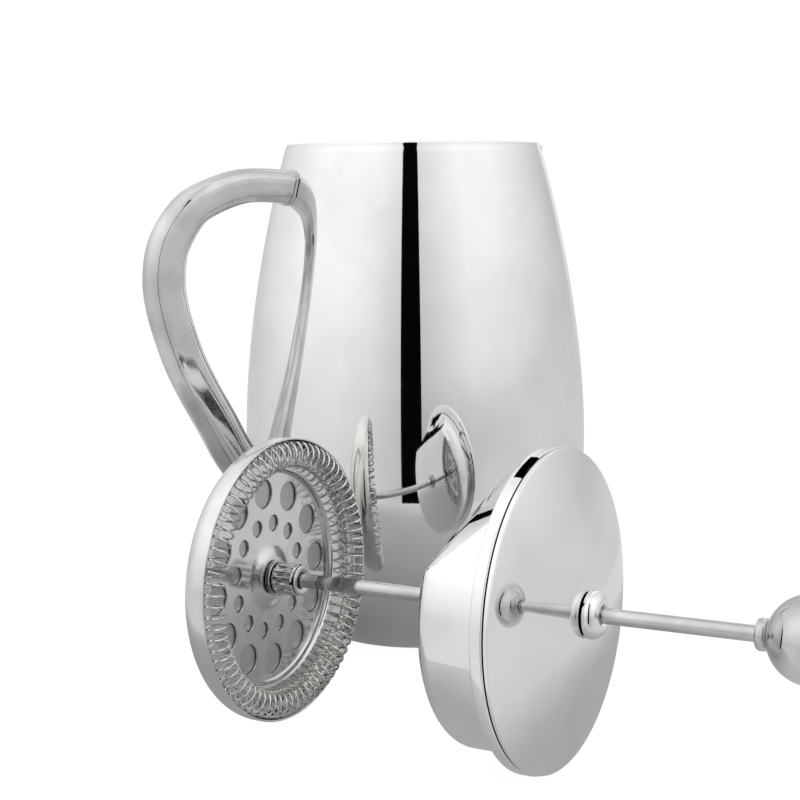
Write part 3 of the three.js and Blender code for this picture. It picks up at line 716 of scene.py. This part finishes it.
# CAD nodes that stay, with their finishes
keptNodes = {"base_plate": mirrorSteel, "spout_throat": brushedSteel, "handle_upper_saddle": shadedBarSteel,
             "handle_lower_saddle": shadedBarSteel, "strainer_tab": sheetSteel, "rod_seal": siliconeSeal,
             "bush_nut": turnedSteel, "lower_grommet": turnedSteel, "knob_insert": turnedSteel,
             "cross_plate_boss": turnedSteel}
for name, material in keptNodes.items():
    node = bpy.data.objects[name]
    if node.material_slots:
        for materialSlot in node.material_slots:
            materialSlot.material = material
    else:
        node.data.materials.append(material)

# studio
# walls: (degrees round from the camera's right, brightness), above and below the horizon
studioLook = {"wallsHigh": [(-180, 1.06), (-144, 1.05), (-119, 0.94), (-108, 0.84), (-96, 0.76), (-85, 0.73),
                            (-73, 0.82), (-49, 1.0), (-23, 0.99), (-3, 0.92), (22, 0.82), (48, 0.7), (61, 0.66),
                            (67, 1.0), (76, 1.0), (84, 0.64), (132, 0.9), (180, 1.06)],
              "wallsLow": [(-180, 0.94), (-144, 0.96), (-119, 0.86), (-108, 0.78), (-85, 0.58), (-73, 0.66),
                           (-40, 0.82), (-23, 0.86), (0, 0.88), (22, 0.86), (60, 0.8), (120, 0.8), (180, 0.94)],
              "floorSize": 12, "floorWhite": "#f4f4f4",
              "floorLight": 1.06, "bounceSize": 0.236, "bounceCentre": (-0.048, -0.026),
              # painted shadow: grey stops for the floor in the steel, darkest at the pot
              "bounce": [(0, "#808080"), (0.05, "#949494"), (0.1, "#a8a8a8"), (0.15, "#b4b4b4"),
                         (0.2, "#dedede"), (1, "#e8e8e8")],
              "cardWidth": 0.42, "cardHeight": 4, "cardLow": -0.85, "cardDistance": 1.8,
              "cardBearing": -122.5, "glow": 0.9}
cameraLook = {"place": (-0.3206, -0.5552, 0.18767), "heading": 60.55, "down": 8.212, "roll": -0.564,
              "lens": 70.19}


def makeFloor(look):
    bpy.ops.object.select_all(action='DESELECT')
    bpy.ops.mesh.primitive_plane_add(size=look["floorSize"], location=(0, 0, 0))
    floor = bpy.context.object
    floor.name = "floor"
    material, tree = emptyMaterial("painted studio floor")
    paint = addNode(tree, 'ShaderNodeBsdfDiffuse', {'Color': linearColour(look["floorWhite"])}, {})
    light = addNode(tree, 'ShaderNodeEmission', {'Strength': look["floorLight"]}, {})
    blend = addNode(tree, 'ShaderNodeMixShader', {'Fac': look["glow"]}, {})
    tree.links.new(paint.outputs['BSDF'], blend.inputs[1])
    tree.links.new(light.outputs['Emission'], blend.inputs[2])
    addNode(tree, 'ShaderNodeOutputMaterial', {}, {'Surface': blend.outputs['Shader']})
    floor.data.materials.append(material)
    floor.visible_glossy = False
    floor.visible_diffuse = False
    floor.visible_shadow = False


def makeFloorBounce(look):  # what the steel sees of the floor: a glowing disc with painted shadow, darker grey close to the pot
    bpy.ops.object.select_all(action='DESELECT')
    bpy.ops.mesh.primitive_circle_add(vertices=96, radius=look["bounceSize"], fill_type='NGON',
                                      location=(0, 0, -0.0004))
    floor = bpy.context.object
    floor.name = "floor_bounce"
    material, tree = emptyMaterial("studio floor in the steel with painted shadow")
    where = addNode(tree, 'ShaderNodeTexCoord', {}, {})
    centre = look["bounceCentre"]
    shift = addNode(tree, 'ShaderNodeMapping', {'Location': (-centre[0], -centre[1], 0)},
                    {'Vector': where.outputs['Object']})
    away = addNode(tree, 'ShaderNodeVectorMath', {'operation': 'LENGTH'}, {'Vector': shift.outputs['Vector']})
    shade = addNode(tree, 'ShaderNodeValToRGB', {}, {'Fac': away.outputs['Value']})
    ramp = shade.color_ramp
    ramp.elements[0].position = 0.0
    ramp.elements[0].color = linearColour(look["bounce"][0][1])
    ramp.elements[1].position = 1.0
    ramp.elements[1].color = linearColour(look["bounce"][-1][1])
    for distance, colour in look["bounce"][1:-1]:
        stop = ramp.elements.new(distance)
        stop.color = linearColour(colour)
    light = addNode(tree, 'ShaderNodeEmission', {'Strength': 1.0}, {'Color': shade.outputs['Color']})
    addNode(tree, 'ShaderNodeOutputMaterial', {}, {'Surface': light.outputs['Emission']})
    floor.data.materials.append(material)
    floor.visible_camera = False
    floor.visible_shadow = False


def makeCard(look):
    bearing = math.radians(look["cardBearing"])
    spot = Vector((math.cos(bearing), math.sin(bearing), 0)) * look["cardDistance"]
    bpy.ops.object.select_all(action='DESELECT')
    bpy.ops.mesh.primitive_plane_add(size=1, location=(0, 0, 0))
    card = bpy.context.object
    card.name = "black_card"
    card.matrix_world = (Matrix.Translation(spot + Vector((0, 0, look["cardLow"] + look["cardHeight"] / 2)))
                         @ Matrix.Rotation(bearing + math.pi / 2, 4, 'Z') @ Matrix.Rotation(math.pi / 2, 4, 'X')
                         @ Matrix.Diagonal((look["cardWidth"], look["cardHeight"], 1, 1)))
    material, tree = emptyMaterial("matt black card")
    paint = addNode(tree, 'ShaderNodeBsdfDiffuse', {'Color': (0.002, 0.002, 0.002, 1)}, {})
    addNode(tree, 'ShaderNodeOutputMaterial', {}, {'Surface': paint.outputs['BSDF']})
    card.data.materials.append(material)
    card.visible_camera = False
    card.visible_shadow = False


def greyRamp(tree, stops, source):  # stops are (degrees round from the camera's right, brightness)
    ramp = addNode(tree, 'ShaderNodeValToRGB', {}, {'Fac': source})
    stops = [(0.5 + degrees / 360, value) for degrees, value in stops]
    elements = ramp.color_ramp.elements
    elements[0].position, elements[1].position = stops[0][0], stops[-1][0]
    elements[0].color = (stops[0][1],) * 3 + (1,)
    elements[1].color = (stops[-1][1],) * 3 + (1,)
    for position, value in stops[1:-1]:
        elements.new(position).color = (value, value, value, 1)
    return ramp.outputs['Color']


def makeWorld(look):  # white to the eye, with the tones of a tented studio in reflections
    world = bpy.data.worlds.new("studio")
    bpy.context.scene.world = world
    world.use_nodes = True
    tree = world.node_tree
    tree.nodes.clear()
    where = addNode(tree, 'ShaderNodeTexCoord', {}, {})
    turn = addNode(tree, 'ShaderNodeMapping', {'Rotation': (0, 0, math.radians(30))},
                   {'Vector': where.outputs['Generated']})
    parts = addNode(tree, 'ShaderNodeSeparateXYZ', {}, {'Vector': turn.outputs['Vector']})
    level = addNode(tree, 'ShaderNodeCombineXYZ', {}, {'X': parts.outputs['X'], 'Y': parts.outputs['Y']})
    round360 = addNode(tree, 'ShaderNodeTexGradient', {'gradient_type': 'RADIAL'},
                       {'Vector': level.outputs['Vector']})
    high = greyRamp(tree, look["wallsHigh"], round360.outputs['Fac'])
    low = greyRamp(tree, look["wallsLow"], round360.outputs['Fac'])
    share = addNode(tree, 'ShaderNodeMapRange', {'From Min': -0.12, 'From Max': 0.1, 'interpolation_type':
                                                'SMOOTHSTEP'}, {'Value': parts.outputs['Z']})
    climb = addNode(tree, 'ShaderNodeMapRange', {'From Min': 0.0, 'From Max': 0.6, 'To Min': 0.84, 'To Max': 1.24},
                    {'Value': parts.outputs['Z']})
    walls = addNode(tree, 'ShaderNodeMix', {'data_type': 'RGBA'}, {})
    tree.links.new(share.outputs['Result'], walls.inputs['Factor'])
    tree.links.new(low, walls.inputs[6])
    tree.links.new(high, walls.inputs[7])
    ray = addNode(tree, 'ShaderNodeLightPath', {}, {})
    seen = addNode(tree, 'ShaderNodeMix', {'data_type': 'RGBA'}, {'Factor': ray.outputs['Is Camera Ray']})
    tree.links.new(walls.outputs[2], seen.inputs[6])
    seen.inputs[7].default_value = (1.2, 1.2, 1.2, 1)
    sky = addNode(tree, 'ShaderNodeBackground', {}, {'Color': seen.outputs[2], 'Strength': climb.outputs['Result']})
    addNode(tree, 'ShaderNodeOutputWorld', {}, {'Surface': sky.outputs['Background']})


def makeCamera(look):
    bpy.ops.object.camera_add(location=(0, 0, 0))
    camera = bpy.context.object
    camera.matrix_world = (Matrix.Translation(look["place"])
                           @ Matrix.Rotation(math.radians(look["heading"] - 90), 4, 'Z')
                           @ Matrix.Rotation(math.radians(90 - look["down"]), 4, 'X')
                           @ Matrix.Rotation(math.radians(look["roll"]), 4, 'Z'))
    camera.data.lens = look["lens"]
    camera.data.sensor_width = 36
    bpy.context.scene.camera = camera


makeFloor(studioLook)
makeFloorBounce(studioLook)
makeCard(studioLook)
makeWorld(studioLook)
makeCamera(cameraLook)
bpy.context.scene.view_settings.view_transform = 'Standard'
print("studio made")
